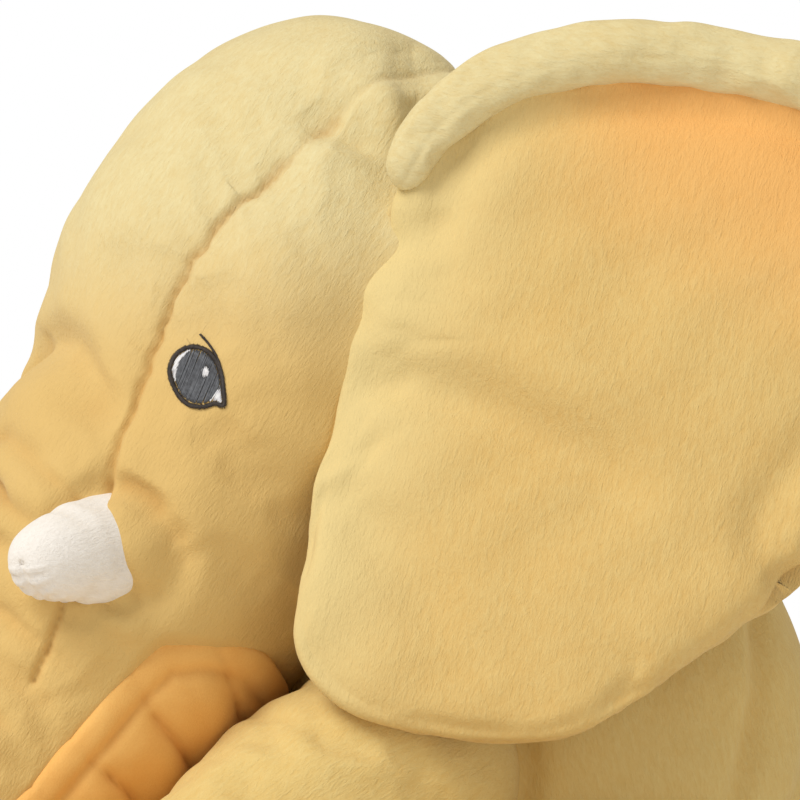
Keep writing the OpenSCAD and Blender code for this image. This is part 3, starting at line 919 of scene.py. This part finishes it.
def fill_stitches(inside, pitch, tilt, seed):
    """Parallel stitches over the places that a test accepts."""
    random = np.random.default_rng(seed)
    c, s = math.cos(tilt), math.sin(tilt)
    found = []
    for v in np.arange(-15, 15, pitch):
        run = []
        for w in np.arange(-15, 15, 0.15):
            x, y = c * w - s * v, s * w + c * v
            if inside(x, y):
                run.append((x, y))
            elif run:
                if len(run) > 4:
                    found.append((run[0], run[-1]))
                run = []
    jitter = 0.12
    return [((a[0] + random.normal() * jitter, a[1] + random.normal() * jitter),
             (b[0] + random.normal() * jitter, b[1] + random.normal() * jitter)) for a, b in found]


def in_oval(x, y, oval, grow=0.0):
    return ((x - oval[0]) / (oval[2] + grow)) ** 2 + ((y - oval[1]) / (oval[3] + grow)) ** 2 < 1


def outline_stitches(loop, width, pitch, seed, both=0.5):
    """Short stitches across a line."""
    random = np.random.default_rng(seed)
    p = evenly(loop, pitch)
    d = np.gradient(p, axis=0)
    d /= np.linalg.norm(d, axis=1)[:, None]
    n = np.stack([-d[:, 1], d[:, 0]], 1)
    n = n + 0.35 * d
    w = width * (1 + 0.12 * random.normal(size=len(p)))
    return [(tuple(q - m * k * both), tuple(q + m * k * (1 - both))) for q, m, k in zip(p, n, w)]


shut_outline = np.vstack([EYE_OUTLINE, EYE_OUTLINE[:1]])
shrink = EYE_OUTLINE * 0.9
black_thread = thread("black_thread", srgb(62, 52, 46), srgb(36, 30, 28))
grey_thread = thread("grey_thread", srgb(98, 101, 108), srgb(68, 70, 76))
white_thread = thread("white_thread", srgb(240, 240, 242), srgb(215, 215, 222))
outline_piece = stitched("eye_left_outline", outline_stitches(shut_outline, 1.9, 0.42, 1) + outline_stitches(LID, 0.9, 0.42, 2), 0.45, 0.27)
iris_piece = stitched("eye_left_iris", fill_stitches(lambda x, y: in_oval(x, y, IRIS) and inside_shape(shrink, x, y)
                                                     and not in_oval(x, y, GLINT, -0.3), 0.42, 1.2, 3), 0.25)
white_piece = stitched(
    "eye_left_white",
    fill_stitches(lambda x, y: inside_shape(shrink, x, y) and not in_oval(x, y, IRIS, -0.2), 0.42, 1.0, 4)
    + fill_stitches(lambda x, y: in_oval(x, y, GLINT, 0.2), 0.4, 1.2, 5), 0.3)
for piece, kind, material, slot in ((outline_piece, "outline", black_thread, "black_thread"),
                                    (iris_piece, "iris", grey_thread, "grey_thread"),
                                    (white_piece, "white", white_thread, "white_thread")):
    outward(piece)
    piece.name = f"eye_left_{kind}_stitches"
    other = mirrored(piece, f"eye_right_{kind}_stitches")
    for s, o in (("left", piece), ("right", other)):
        dress(o, material)
        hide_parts(f"eye_{s}_{kind}")
        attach(o, "head")

# ------------------------------------------------------------------ ears

ear_out = np.cross(ear_away, ear_up)
EAR_OUTLINE = [(-1, 60), (26, 95), (90, 124), (150, 129), (198, 96), (217, 40), (205, -15),
               (172, -88), (116, -147), (56, -161), (14, -148), (0, -100), (-4, -60)]
EAR_HALF = 7.0
EAR_CENTRE = np.array([98.0, 0.0])


def ear_place(p, q, out):
    """Places in the ear's own frame: away from the head, up its seam, and outward."""
    return ear_root + np.multiply.outer(p, ear_away) + np.multiply.outer(q, ear_up) + np.multiply.outer(out, ear_out)


def ear_coords(points):
    v = points - ear_root
    return v @ ear_away, v @ ear_up, v @ ear_out


def ear_bow(p, q):
    """The gentle wave of the whole flap."""
    back = smooth(60, 215, p)
    return 5 * back * np.sin(q / 62 + 0.6) - 5 * smooth(70, 160, -q) * smooth(20, 90, p) + 4 * np.sin(p / 48 + q / 90)


ROLL_LINE = [(0, 40), (5, 64), (22, 87), (52, 107), (88, 118), (122, 122), (150, 120), (176, 107), (194, 89),
             (205, 64), (209, 34), (205, 4), (197, -24), (186, -50)]


def ear_sheet():
    edge = evenly(spline(EAR_OUTLINE, 8, closed=True), 6.4, closed=True)
    n = len(edge)
    to_edge = edge - EAR_CENTRE
    reach = np.linalg.norm(to_edge, axis=1).mean()
    shares = 1 - np.concatenate([[0], np.cumsum([2, 2.5, 3.5, 4.5] + [6.4] * int((reach - 16) / 6.4))]) / reach
    shares = shares[shares > 0.03]
    layers = []
    for sign in (1, -1):
        for k in (range(len(shares) - 1, -1, -1) if sign > 0 else range(1, len(shares))):
            place = EAR_CENTRE + to_edge * shares[k]
            depth = (1 - shares[k]) * np.linalg.norm(to_edge, axis=1)
            half = EAR_HALF * np.sqrt(1 - (1 - np.clip(depth / 13, 0, 1)) ** 2)
            out = sign * half + ear_bow(place[:, 0], place[:, 1])
            layers.append(ear_place(place[:, 0], place[:, 1], out))
    obj = make_object("ear_left_sheet", *loft_mesh(np.array(layers)))
    outward(obj)
    rim = ear_place(edge[:, 0], edge[:, 1], ear_bow(edge[:, 0], edge[:, 1]))
    rim = np.vstack([rim, rim[:1]])
    held = hill(near_line(points_of(obj), rim)[0], 4)
    p, q, _ = ear_coords(points_of(obj))
    held = np.maximum(held, 1 - smooth(2, 14, p - 4 + 0.02 * np.abs(q)) * 1.0 * (np.abs(q) < 70) - 1.0 * (np.abs(q) >= 70))
    stuff(obj, held, 5.0, 0.05, 3.0)
    subdivide(obj, 2)
    points = points_of(obj)
    p, q, out = ear_coords(points)
    front_face = np.sign(out - ear_bow(p, q))
    relief = 1.3 * wobble(points, 70, 41) + 0.5 * wobble(points, 24, 42)
    # gathers from the sewn root
    at_root = (np.abs(q) < 75) * 1.0
    fan = np.arctan2(q + 4, p + 34)
    relief += 0.9 * np.sin(fan * 9 + 0.8) * np.exp(-np.maximum(p, 0) / 40) * at_root * smooth(75, 55, np.abs(q))
    relief += np.where(front_face > 0, 2.5, 0) * smooth(0, 14, p) * (1 - smooth(30, 64, p))
    # a soft fold that runs back from the lower end of the root
    fold = q + 34 + 0.16 * p - 7 * np.sin(p / 40)
    strength = smooth(-6, 12, p) * (1 - smooth(85, 140, p))
    relief += np.where(front_face > 0, 1, -0.6) * strength * (-5.5 * hill(fold, 12) + 4.0 * hill(fold - 22, 14))
    # the dip that the rolled rim makes below it
    dip = evenly(spline(ROLL_LINE, 6), 3.0)
    under_roll = near_line(np.stack([p, q, 0 * p], 1), np.column_stack([dip, 0 * dip[:, 0]]))[0]
    relief -= np.where(front_face > 0, 4.5, -3.0) * hill(under_roll - 20, 10) * (np.hypot(p - 98, q) < 150)
    # the seam round the rim
    relief += seam_relief(points, evenly(rim, 2.0), 0.9, 0.2, 0.3, 22.0)
    push(obj, relief)
    # painted shade and bounced light: the front is tinted warmer and oranger where it tucks under the rolled rim
    warm = smooth(10, 105, q + 0.25 * (p - 100)) * smooth(20, 95, p) * (front_face > 0)
    obj.data.attributes.new("warm", "FLOAT", "POINT").data.foreach_set("value", (0.65 * warm).astype(np.float32))
    pale = 1 - smooth(-4, 70, p)
    obj.data.attributes.new("pale", "FLOAT", "POINT").data.foreach_set("value", pale.astype(np.float32))
    return obj


def ear_roll():
    """The top rim, rolled over towards the front."""
    line = evenly(spline(ROLL_LINE, 6), 5.0)
    along = np.concatenate([[0], np.cumsum(np.linalg.norm(np.diff(line, axis=0), axis=1))])
    total = along[-1]
    radius = np.interp(along, [0, 14, 40, 110, 200, 260, 320, total], [7, 9.4, 12, 12.6, 11.6, 9.2, 6.4, 3.0])
    radius *= np.sqrt(np.clip(1 - (1 - np.clip(along / 7, 0.05, 1)) ** 2, 0, 1))
    middle = ear_place(line[:, 0], line[:, 1], 8.0 + ear_bow(line[:, 0], line[:, 1]))
    d = np.gradient(middle, axis=0)
    d /= np.linalg.norm(d, axis=1)[:, None]
    a = np.cross(d, ear_out)
    turn = np.arange(20) * 2 * np.pi / 20
    rings = middle[:, None] + radius[:, None, None] * (
        np.cos(turn)[None, :, None] * a[:, None] + 0.92 * np.sin(turn)[None, :, None] * ear_out)
    obj = make_object("ear_left_roll", *loft_mesh(rings))
    outward(obj)
    seam = evenly(middle + radius[:, None] * (0.35 * a + 0.9 * ear_out), 2.0)
    stuff(obj, hill(near_line(points_of(obj), seam)[0], 3), 1.6, 0.02, 2.0)
    subdivide(obj, 2)
    p = points_of(obj)
    push(obj, 0.9 * wobble(p, 40, 51) + 0.4 * wobble(p, 14, 52) + 0.35 * seam_relief(p, seam, 1.6, 1.0, 1.0, 16.0))
    return obj


# its tint is the painted shade and bounced light under the rolled rim
plush_ear = pile("plush_ear", *YELLOW_EAR, tuple(-ear_up), YELLOW_HOLLOW_SHADE, warm=YELLOW_PAINTED_WARM_SHADE,
                 pale=srgb(221, 200, 142))
plush_rim = pile("plush_rim", *YELLOW_FACE, tuple(ear_away), YELLOW_HOLLOW_SHADE)
ear_parts = {"left": [ear_sheet(), ear_roll()]}
ear_parts["right"] = [mirrored(o, o.name.replace("left", "right")) for o in ear_parts["left"]]
for s, k in SIDES.items():
    for piece in ear_parts[s]:
        dress(piece, plush_ear if piece is ear_parts[s][0] else plush_rim)
        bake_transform(piece)
    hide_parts(f"ear_{s}_front", f"ear_{s}_back", f"ear_{s}_padding")

# ------------------------------------------------------------------ body

BODY_R = 116.0
BODY_WIDEST = 100.0
BODY_BELOW = 130.0
BODY_ABOVE = 190.0
BODY_LEAN = math.radians(5)
body_middle = np.array([0, joint_at["tail_swing"][1] - 109, 0])
body_up = np.array([0, -math.sin(BODY_LEAN), math.cos(BODY_LEAN)])
body_front = np.array([0, -math.cos(BODY_LEAN), -math.sin(BODY_LEAN)])


def body_place(h, phi, lift=0.0):
    """A place on the body; phi, in degrees, goes round from the front."""
    h, phi = np.broadcast_arrays(np.asarray(h, float), np.radians(np.asarray(phi, float)))
    low = np.clip((BODY_WIDEST - h) / BODY_BELOW, 0, 1)
    high = np.clip((h - BODY_WIDEST) / BODY_ABOVE, 0, 1)
    r = BODY_R * np.where(h < BODY_WIDEST, (1 - low**2.6) ** (1 / 2.6), np.sqrt(1 - high**2)) + lift
    out = body_front * np.cos(phi)[..., None] + SIDEWAYS * np.sin(phi)[..., None]
    return body_middle + h[..., None] * body_up + r[..., None] * out


def body_skin():
    h = np.concatenate([-29.4 + 4 * (1 - np.cos(np.radians([0, 35, 60, 80]))), np.arange(-20, 250, 6.0), [254, 262, 270, 277, 283, 287]])
    angles = np.arange(112) * 360 / 112
    obj = make_object("body_skin", *loft_mesh(body_place(h[:, None], angles[None])))
    outward(obj)
    lines = [evenly(body_place(np.arange(-8, 262, 3.0), a), 2.0) for a in (27, -27, 180)]
    p = points_of(obj)
    held = np.zeros(len(p))
    for line in lines:
        held = np.maximum(held, hill(near_line(p, line)[0], 6))
    held = np.maximum(held, 1 - smooth(4, 16, p[:, 2]))
    stuff(obj, held, 4.5, 0.04)
    subdivide(obj, 2)
    p = points_of(obj)
    relief = 2.2 * wobble(p, 90, 61) + 0.8 * wobble(p, 32, 62)
    for i, line in enumerate(lines):
        relief += seam_relief(p, line, 2.4, 2.2, 0.8, 17.0, i)
    # creases where each leg is sewn on, with folds that run out from them
    for leg, root_r in (("front_leg", 48.0), ("hind_leg", 55.0)):
        for s in SIDES:
            root = joint_at[f"{leg}_{s}_lift"]
            d = np.linalg.norm(p - root, axis=1)
            angle = np.arctan2(p[:, 2] - root[2], p[:, 1] - root[1])
            relief -= 4.0 * hill(d - root_r - 3, 6)
            relief += 1.6 * np.sin(4 * angle + (1 if leg == "front_leg" else 2.4)) * hill(d - root_r - 20, 16)
    # folds across the back of the neck and below the head
    d = np.linalg.norm(p - head_middle, axis=1)
    angle = np.arctan2(p[:, 0], p[:, 1] - head_middle[1])
    relief += 2.6 * np.sin(7 * angle + 0.5) * hill(d - 126, 16) - 3.0 * hill(d - 112, 6)
    # a full back, and two folds that hang from the shoulder
    behind = smooth(-20, 60, p[:, 1] - body_middle[1])
    relief += 13 * behind * hill(p[:, 2] - 205, 75)
    for start, lean, deep in ((30, 0.25, 4.0), (64, 0.5, 3.0)):
        line = p[:, 1] - body_middle[1] - start - lean * (p[:, 2] - 150) - 4 * wobble(p, 90, 65)
        relief -= deep * hill(line, 6) * smooth(90, 130, p[:, 2]) * (1 - smooth(215, 250, p[:, 2]))
    # and a sag fold over the seat
    relief += 2.6 * (hill(p[:, 2] - 36 - 5 * wobble(p, 120, 63), 9) - hill(p[:, 2] - 20 - 4 * wobble(p, 100, 64), 5))
    push(obj, relief)
    p = points_of(obj)
    flat = 0.6
    p[:, 2] = np.where(p[:, 2] < flat, flat - 0.1 * hill(p[:, 2] - flat, 30), p[:, 2])
    put_points(obj, p)
    return obj


plush_body = pile("plush_body", *YELLOW, (0.0, 0.2, -1.0), YELLOW_HOLLOW_SHADE)
body = dress(body_skin(), plush_body)
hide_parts("belly_panel", "back_panel_left", "back_panel_right", "base_panel", "body_filling")
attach(body, "body")

# ------------------------------------------------------------------ legs


def leg(name, root_r, ankle_r, foot_r, seed):
    """The left leg of a pair, and its sole."""
    root = joint_at[f"{name}_left_lift"]
    foot = node_middle(f"{name}_left_sole")
    axis = unit(foot - root)
    long = np.linalg.norm(foot - root) + 1.5
    across, over = frame_of(axis)
    rounding = 16.0
    back = np.radians([80, 66, 52, 38, 25, 12])
    t = np.concatenate([-root_r * np.sin(back), np.arange(0, long - rounding, 5.0), long - rounding + rounding * np.sin(np.radians([0, 20, 40, 58, 74, 86]))])
    share = t / long
    radius = np.where(share < 0.6, root_r + (ankle_r - root_r) * (1 - np.cos(np.pi * np.clip(share / 0.6, 0, 1))) / 2,
                      ankle_r + (foot_r - ankle_r) * (1 - np.cos(np.pi * np.clip((share - 0.6) / 0.3, 0, 1))) / 2)
    radius = np.where(t < 0, np.sqrt(np.maximum(root_r**2 - t**2, 4)), radius)
    tip = np.clip((t - long + rounding) / rounding, 0, 1)
    radius -= rounding * (1 - np.sqrt(1 - tip**2))
    t_ring, r_ring = list(t), list(radius)
    for s in (0.8, 0.55, 0.3, 0.1):
        t_ring.append(long - 1.0)
        r_ring.append(radius[-1] * s)
    t, radius = np.array(t_ring), np.array(r_ring)
    turn = np.arange(64) * 2 * np.pi / 64
    rings = (root + t[:, None] * axis)[:, None] + radius[:, None, None] * (
        np.cos(turn)[None, :, None] * across + np.sin(turn)[None, :, None] * over)
    obj = make_object(f"{name}_left", *loft_mesh(rings))
    outward(obj)
    lines = [evenly(rings[4:-6, 48], 2.0)]
    sole_r = foot_r - 11.5
    ring = foot + sole_r * (np.cos(turn)[:, None] * across + np.sin(turn)[:, None] * over) + 1.0 * axis
    lines.append(evenly(np.vstack([ring, ring[:1]]), 2.0))
    p = points_of(obj)
    held = np.zeros(len(p))
    for line in lines:
        held = np.maximum(held, hill(near_line(p, line)[0], 5))
    held = np.maximum(held, 1 - smooth(-10, 8, (p - root) @ axis))
    held = np.maximum(held, smooth(long - 6, long - 3, (p - root) @ axis))
    stuff(obj, held, 4.0, 0.04)
    subdivide(obj, 2)
    p = points_of(obj)
    v = p - root
    along = v @ axis
    side = v @ across
    top = v @ over
    angle = np.arctan2(side, top)
    relief = 1.8 * wobble(p, 70, seed) + 0.6 * wobble(p, 25, seed + 1)
    relief += seam_relief(p, lines[0], 2.0, 1.8, 0.5, 15.0, seed)
    relief += seam_relief(p, lines[1], 3.0, 1.0, 0.8, 9.0, seed)
    # the ankle's crease, deeper on top, with the foot's puff after it, and folds at the hip
    crease = long - 56 + 5 * np.cos(angle)
    relief += (0.55 + 0.45 * np.cos(angle)) * (-3.6 * hill(along - crease, 7) + 1.6 * hill(along - crease - 22, 14))
    for at, deep in ((30, 0.8), (62, 0.6)):
        place = at + 7 * np.sin(angle * 1.5 + seed) + 3 * wobble(p, 40, seed + at)
        relief += deep * (-hill(along - place, 4) + 0.6 * hill(along - place - 9, 6)) * (0.6 + 0.4 * np.cos(angle - 0.6))
    push(obj, relief * smooth(-30, 0, along) + 0)
    p = points_of(obj)
    floor = 0.8
    p[:, 2] = np.maximum(p[:, 2], floor)
    put_points(obj, p)
    sole = patch_disc(f"{name}_left_sole_patch", foot + 1.5 * axis, axis, sole_r, 3.0, seed)
    return obj, sole, root, axis


for name, sizes, seed in (("front_leg", (48.0, 43.0, 50.0), 71), ("hind_leg", (55.0, 48.0, 52.0), 81)):
    skin, sole, root, axis = leg(name, *sizes, seed)
    plush_leg = pile(f"plush_{name}", *YELLOW, tuple(axis), YELLOW_HOLLOW_SHADE)
    dress(skin, plush_leg)
    for s, k in SIDES.items():
        pair = (skin, sole) if s == "left" else (mirrored(skin, f"{name}_right"), mirrored(sole, f"{name}_right_sole_patch"))
        for piece, nodes in zip(pair, ((f"{name}_{s}_skin", f"{name}_{s}_filling"), (f"{name}_{s}_sole",))):
            if s == "right":
                dress(piece, piece.data.materials[0])
            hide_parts(*nodes)
            if piece is pair[0]:
                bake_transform(piece)
            else:
                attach(piece, f"{name}_{s}")

# ------------------------------------------------------------------ tail

tail_root = joint_at["tail_swing"]
tail_axis = unit(node_middle("tail_tuft") - tail_root)
TAIL_LENGTH = np.linalg.norm(node_middle("tail_tuft") - tail_root) - 12


def tail():
    across, over = frame_of(tail_axis)
    t = np.concatenate([[-11.5, -9, -5], np.arange(0, TAIL_LENGTH + 4, 3.0)])
    radius = np.interp(t, [-11.5, -9, -5, 0, 10, 22, TAIL_LENGTH], [3, 8, 11, 12, 11, 8.6, 7.2])
    sag = 0.004 * np.maximum(t, 0) ** 2 - 0.004 * TAIL_LENGTH * np.maximum(t, 0)
    turn = np.arange(28) * 2 * np.pi / 28
    rings = (tail_root + t[:, None] * tail_axis + sag[:, None] * over)[:, None] + radius[:, None, None] * (
        np.cos(turn)[None, :, None] * across + np.sin(turn)[None, :, None] * over)
    obj = make_object("tail_cord", *loft_mesh(rings))
    outward(obj)
    seam = evenly(rings[3:, 21], 1.5)
    subdivide(obj, 2)
    p = points_of(obj)
    push(obj, 0.5 * wobble(p, 22, 91) + seam_relief(p, seam, 1.2, 0.7, 0.5, 7.0))
    return obj


def tuft():
    """Locks of pile gathered at the tail's end."""
    across, over = frame_of(tail_axis)
    random = np.random.default_rng(7)
    points, faces, count = [], [], 0
    start = tail_root + tail_axis * (TAIL_LENGTH - 3)
    for i in range(46):
        turn = random.uniform(0, 2 * np.pi)
        spread = 11 * math.sqrt((i + 0.5) / 46)
        out = math.cos(turn) * across + math.sin(turn) * over
        s = np.linspace(0, 1, 9)
        length = 33 - 0.9 * spread + random.uniform(-2, 2)
        swirl = np.cross(tail_axis, out) * random.uniform(-2.5, 2.5)
        line = start + np.outer(s * length, tail_axis) + np.outer(spread * np.sin(s * 2.4) ** 0.8, out) + np.outer(s**2, swirl)
        d = np.gradient(line, axis=0)
        d /= np.linalg.norm(d, axis=1)[:, None]
        a = np.cross(d, unit(out + 0.01))
        a /= np.linalg.norm(a, axis=1)[:, None]
        b = np.cross(a, d)
        width = 2.6 * np.sin(np.pi * np.clip(0.14 + 0.86 * s, 0, 0.985)) ** 0.7
        angle = np.arange(8) * np.pi / 4
        rings = line[:, None] + width[:, None, None] * (np.cos(angle)[None, :, None] * a[:, None] + np.sin(angle)[None, :, None] * b[:, None])
        v, f = loft_mesh(rings)
        points.append(v)
        faces += [[j + count for j in face] for face in f]
        count += len(v)
    obj = make_object("tail_tuft_locks", np.vstack(points), faces)
    outward(obj)
    subdivide(obj, 1)
    return obj


plush_tail = pile("plush_tail", *YELLOW, tuple(tail_axis), YELLOW_HOLLOW_SHADE)
tail_cord = dress(tail(), plush_tail)
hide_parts("tail_skin")
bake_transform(tail_cord)
tail_locks = dress(tuft(), pile("orange_pile", ORANGE_LIGHT, ORANGE_DEEP, tuple(tail_axis), ORANGE_HOLLOW_SHADE))
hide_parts("tail_tuft")
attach(tail_locks, "tail")

# ------------------------------------------------------------------ floor, light and camera


def floor_material():
    n = Nodes("floor")
    fine = n.noise(n.place(), 260, 3.0, 0.6)
    colour = n.mix(n.range(fine, 0, 1), (0.88, 0.88, 0.88), (0.91, 0.91, 0.91))
    return n.finish(colour, n.range(fine, 0.6, 0.75), n.bump(fine, 0.0002, 0.4), 0.0, (1, 1, 1), 0.2)


bpy.ops.mesh.primitive_circle_add(vertices=96, radius=9, fill_type="NGON", location=(0, 0, 0))
floor = bpy.context.object
floor.name = "floor"
floor.data.materials.append(floor_material())

world = bpy.data.worlds.new("studio")
scene.world = world
world.use_nodes = True
background = world.node_tree.nodes["Background"]
background.inputs["Color"].default_value = (1.0, 0.94, 0.83, 1.0)
background.inputs["Strength"].default_value = 0.47
backdrop = world.node_tree.nodes.new("ShaderNodeBackground")
backdrop.inputs["Color"].default_value = (1.0, 1.0, 1.0, 1.0)
seen = world.node_tree.nodes.new("ShaderNodeLightPath")
either = world.node_tree.nodes.new("ShaderNodeMixShader")
world.node_tree.links.new(seen.outputs["Is Camera Ray"], either.inputs[0])
world.node_tree.links.new(background.outputs[0], either.inputs[1])
world.node_tree.links.new(backdrop.outputs[0], either.inputs[2])
world.node_tree.links.new(either.outputs[0], world.node_tree.nodes["World Output"].inputs["Surface"])

CAMERA_AZIMUTH = 65.0
CAMERA_ELEVATION = -2.5
CAMERA_DISTANCE = 4333.0
CAMERA_LENS = 500.0
AIM_RIGHT, AIM_DOWN = 39.0, 35.0     # from the middle of the head
azimuth, elevation = math.radians(CAMERA_AZIMUTH), math.radians(CAMERA_ELEVATION)
camera_right = np.array([math.cos(azimuth), math.sin(azimuth), 0])
camera_back = np.array([math.sin(azimuth) * math.cos(elevation), -math.cos(azimuth) * math.cos(elevation), math.sin(elevation)])
aim = head_middle + AIM_RIGHT * camera_right + np.array([0, 0, -AIM_DOWN])


def look(obj, place, target):
    obj.location = Vector(place) * MM
    obj.rotation_euler = (Vector(target) - Vector(place)).to_track_quat("-Z", "Y").to_euler()


def softbox(name, place, target, size, watts, colour):
    light = bpy.data.lights.new(name, "AREA")
    light.shape = "DISK"
    light.size = size
    light.energy = watts
    light.color = colour
    obj = bpy.data.objects.new(name, light)
    scene.collection.objects.link(obj)
    obj.visible_camera = False
    look(obj, place, target)


chest = head_middle + np.array([0, 0, -60])
sun = bpy.data.lights.new("key", "SUN")
sun.angle = math.radians(34)
sun.energy = 2.25
sun.color = (1.0, 0.985, 0.95)
sun_object = bpy.data.objects.new("key", sun)
scene.collection.objects.link(sun_object)
look(sun_object, chest + 700 * camera_back - 900 * camera_right + np.array([0, 0, 1250]), chest)
softbox("fill", chest + 1300 * camera_back + 700 * camera_right + np.array([0, 0, 300]), chest, 1.4, 1.5, (1.0, 0.97, 0.93))

camera = bpy.data.cameras.new("camera")
camera.lens = CAMERA_LENS
camera.sensor_width = 36
camera.clip_start, camera.clip_end = 0.05, 60
camera_object = bpy.data.objects.new("camera", camera)
scene.collection.objects.link(camera_object)
look(camera_object, aim + CAMERA_DISTANCE * camera_back, aim)
scene.camera = camera_object
scene.view_settings.view_transform = "Standard"
